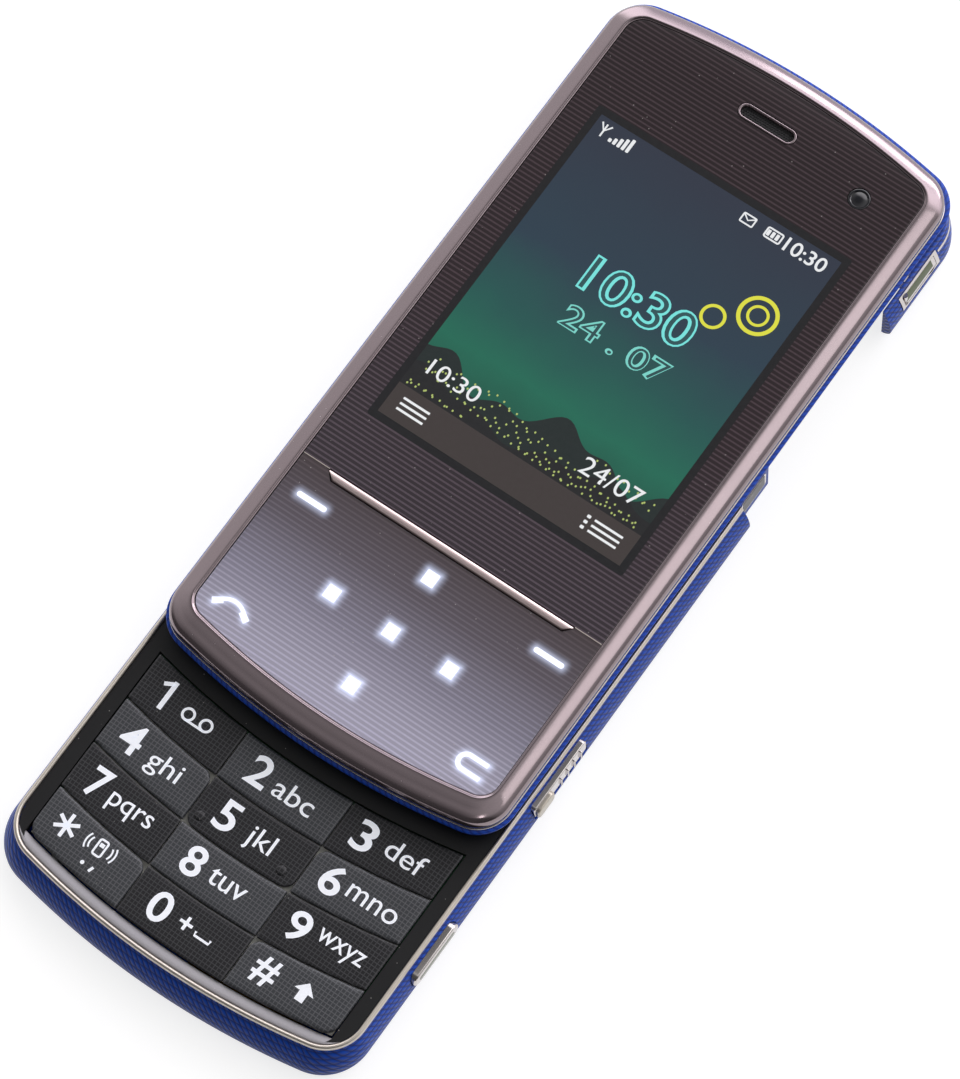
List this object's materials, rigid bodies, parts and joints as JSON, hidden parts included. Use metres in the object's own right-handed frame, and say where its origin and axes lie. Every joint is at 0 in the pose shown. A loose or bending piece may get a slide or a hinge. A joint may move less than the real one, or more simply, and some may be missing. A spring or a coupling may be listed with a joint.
{
  "type": "slider phone",
  "caption": "Slide-open mobile phone with a bowed number keypad, a display over a touch panel, side keys and a full-depth head.",
  "frame": {"origin": "centre of the lower half's back face, on which the phone lies", "axes": "+Z out of the front, +Y towards the earpiece, +X to the right of someone looking at the display"},
  "size_m": [0.0504, 0.1333, 0.0109],
  "materials": {
    "casing_blue": "polished, fine weave under the gloss",
    "chrome_trim": "polished",
    "bezel_black": "satin",
    "chin_grey": "satin",
    "mat_rubber": "matte",
    "switch_grey": "matte",
    "steel": "brushed",
    "board_green": "lacquered",
    "battery_grey": "satin",
    "contact_gold": "polished",
    "card_cream": "satin",
    "inner_black": "matte",
    "weight_brass": "machined",
    "frame_mauve": "metallic, polished",
    "band_blue": "gloss",
    "window_striped": "gloss, fine stripes",
    "panel_striped": "gloss, fine stripes",
    "lens_glass": "gloss",
    "display_face": "gloss",
    "light_white": "lit",
    "door_olive": "gloss",
    "key_dark": "satin, fine grid",
    "key_light": "satin, fine grid"
  },
  "bodies": {
    "lower_half": {"rear_casing": "casing_blue", "chrome_bead": "chrome_trim", "keypad_bezel": "bezel_black", "chin_strip": "chin_grey", "key_mat": "mat_rubber", "side_switches": "switch_grey", "slide_rails": "steel", "main_board": "board_green", "shield_cans": "steel", "battery": "battery_grey", "battery_contacts": "contact_gold", "sim_socket": "steel", "sim_card": "card_cream", "memory_socket": "steel", "memory_card": "inner_black", "loudspeaker": "inner_black", "vibration_motor": "steel", "microphone": "steel", "antenna_strip": "contact_gold", "casing_screws": "steel"},
    "upper_half": {"slider_frame": "frame_mauve", "side_band": "band_blue", "head_cap": "casing_blue", "front_window": "window_striped", "touch_panel": "panel_striped", "earpiece_rim": "chrome_trim", "earpiece_mesh": "inner_black", "earpiece_speaker": "inner_black", "front_lens": "lens_glass", "display_module": "display_face", "inner_tray": "inner_black", "light_guides": "light_white", "slider_board": "board_green", "back_plate": "steel", "slide_carriage": "steel", "slide_spring": "steel", "slider_screws": "steel", "camera_module": "inner_black", "camera_ring": "chrome_trim", "camera_lens": "lens_glass", "door_surround": "chrome_trim", "side_jack": "inner_black"},
    "key_1": {"key_1": "key_dark"},
    "key_2": {"key_2": "key_light"},
    "key_3": {"key_3": "key_dark"},
    "key_4": {"key_4": "key_light"},
    "key_5": {"key_5": "key_dark"},
    "key_6": {"key_6": "key_light"},
    "key_7": {"key_7": "key_dark"},
    "key_8": {"key_8": "key_light"},
    "key_9": {"key_9": "key_dark"},
    "key_star": {"key_star": "key_light"},
    "key_0": {"key_0": "key_dark"},
    "key_hash": {"key_hash": "key_light"},
    "side_rocker": {"side_rocker": "chrome_trim"},
    "side_key": {"side_key": "chrome_trim"},
    "battery_cover": {"battery_cover": "casing_blue"},
    "vibration_weight": {"vibration_weight": "weight_brass"},
    "end_key": {"end_key": "chrome_trim"},
    "side_door": {"side_door": "door_olive"}
  },
  "joints": [
    {"name": "slide", "type": "slide", "parent": "lower_half", "child": "upper_half", "axis": [0, -1, 0], "range_m": [0, 0.029]},
    {"name": "key_1_press", "type": "slide", "parent": "lower_half", "child": "key_1", "axis": [0, 0, -1], "range_m": [0, 0.00025], "stiffness_N_per_m": 400},
    {"name": "key_2_press", "type": "slide", "parent": "lower_half", "child": "key_2", "axis": [0, 0, -1], "range_m": [0, 0.00025], "stiffness_N_per_m": 400},
    {"name": "key_3_press", "type": "slide", "parent": "lower_half", "child": "key_3", "axis": [0, 0, -1], "range_m": [0, 0.00025], "stiffness_N_per_m": 400},
    {"name": "key_4_press", "type": "slide", "parent": "lower_half", "child": "key_4", "axis": [0, 0, -1], "range_m": [0, 0.00025], "stiffness_N_per_m": 400},
    {"name": "key_5_press", "type": "slide", "parent": "lower_half", "child": "key_5", "axis": [0, 0, -1], "range_m": [0, 0.00025], "stiffness_N_per_m": 400},
    {"name": "key_6_press", "type": "slide", "parent": "lower_half", "child": "key_6", "axis": [0, 0, -1], "range_m": [0, 0.00025], "stiffness_N_per_m": 400},
    {"name": "key_7_press", "type": "slide", "parent": "lower_half", "child": "key_7", "axis": [0, 0, -1], "range_m": [0, 0.00025], "stiffness_N_per_m": 400},
    {"name": "key_8_press", "type": "slide", "parent": "lower_half", "child": "key_8", "axis": [0, 0, -1], "range_m": [0, 0.00025], "stiffness_N_per_m": 400},
    {"name": "key_9_press", "type": "slide", "parent": "lower_half", "child": "key_9", "axis": [0, 0, -1], "range_m": [0, 0.00025], "stiffness_N_per_m": 400},
    {"name": "key_star_press", "type": "slide", "parent": "lower_half", "child": "key_star", "axis": [0, 0, -1], "range_m": [0, 0.00025], "stiffness_N_per_m": 400},
    {"name": "key_0_press", "type": "slide", "parent": "lower_half", "child": "key_0", "axis": [0, 0, -1], "range_m": [0, 0.00025], "stiffness_N_per_m": 400},
    {"name": "key_hash_press", "type": "slide", "parent": "lower_half", "child": "key_hash", "axis": [0, 0, -1], "range_m": [0, 0.00025], "stiffness_N_per_m": 400},
    {"name": "end_key_press", "type": "slide", "parent": "upper_half", "child": "end_key", "axis": [0, 0, -1], "range_m": [0, 0.00025], "stiffness_N_per_m": 400},
    {"name": "side_rocker_rock", "type": "hinge", "parent": "lower_half", "child": "side_rocker", "pos_m": [0.02235, 0.0008, 0.0035], "axis": [0, 0, 1], "range_deg": [-1.5, 1.5], "stiffness_Nm_per_rad": 0.02},
    {"name": "side_key_press", "type": "slide", "parent": "lower_half", "child": "side_key", "axis": [-1, 0, 0], "range_m": [0, 0.0003], "stiffness_N_per_m": 400},
    {"name": "battery_cover_slide", "type": "slide", "parent": "lower_half", "child": "battery_cover", "axis": [0, -1, 0], "range_m": [0, 0.008]},
    {"name": "vibration_spin", "type": "hinge", "parent": "lower_half", "child": "vibration_weight", "pos_m": [-0.012, -0.03815, 0.0025], "axis": [1, 0, 0], "continuous": true},
    {"name": "side_door_swing", "type": "hinge", "parent": "upper_half", "child": "side_door", "pos_m": [0.02444, 0.0725, 0.0039], "axis": [0, 0, -1], "range_deg": [0, 90]}
  ]
}
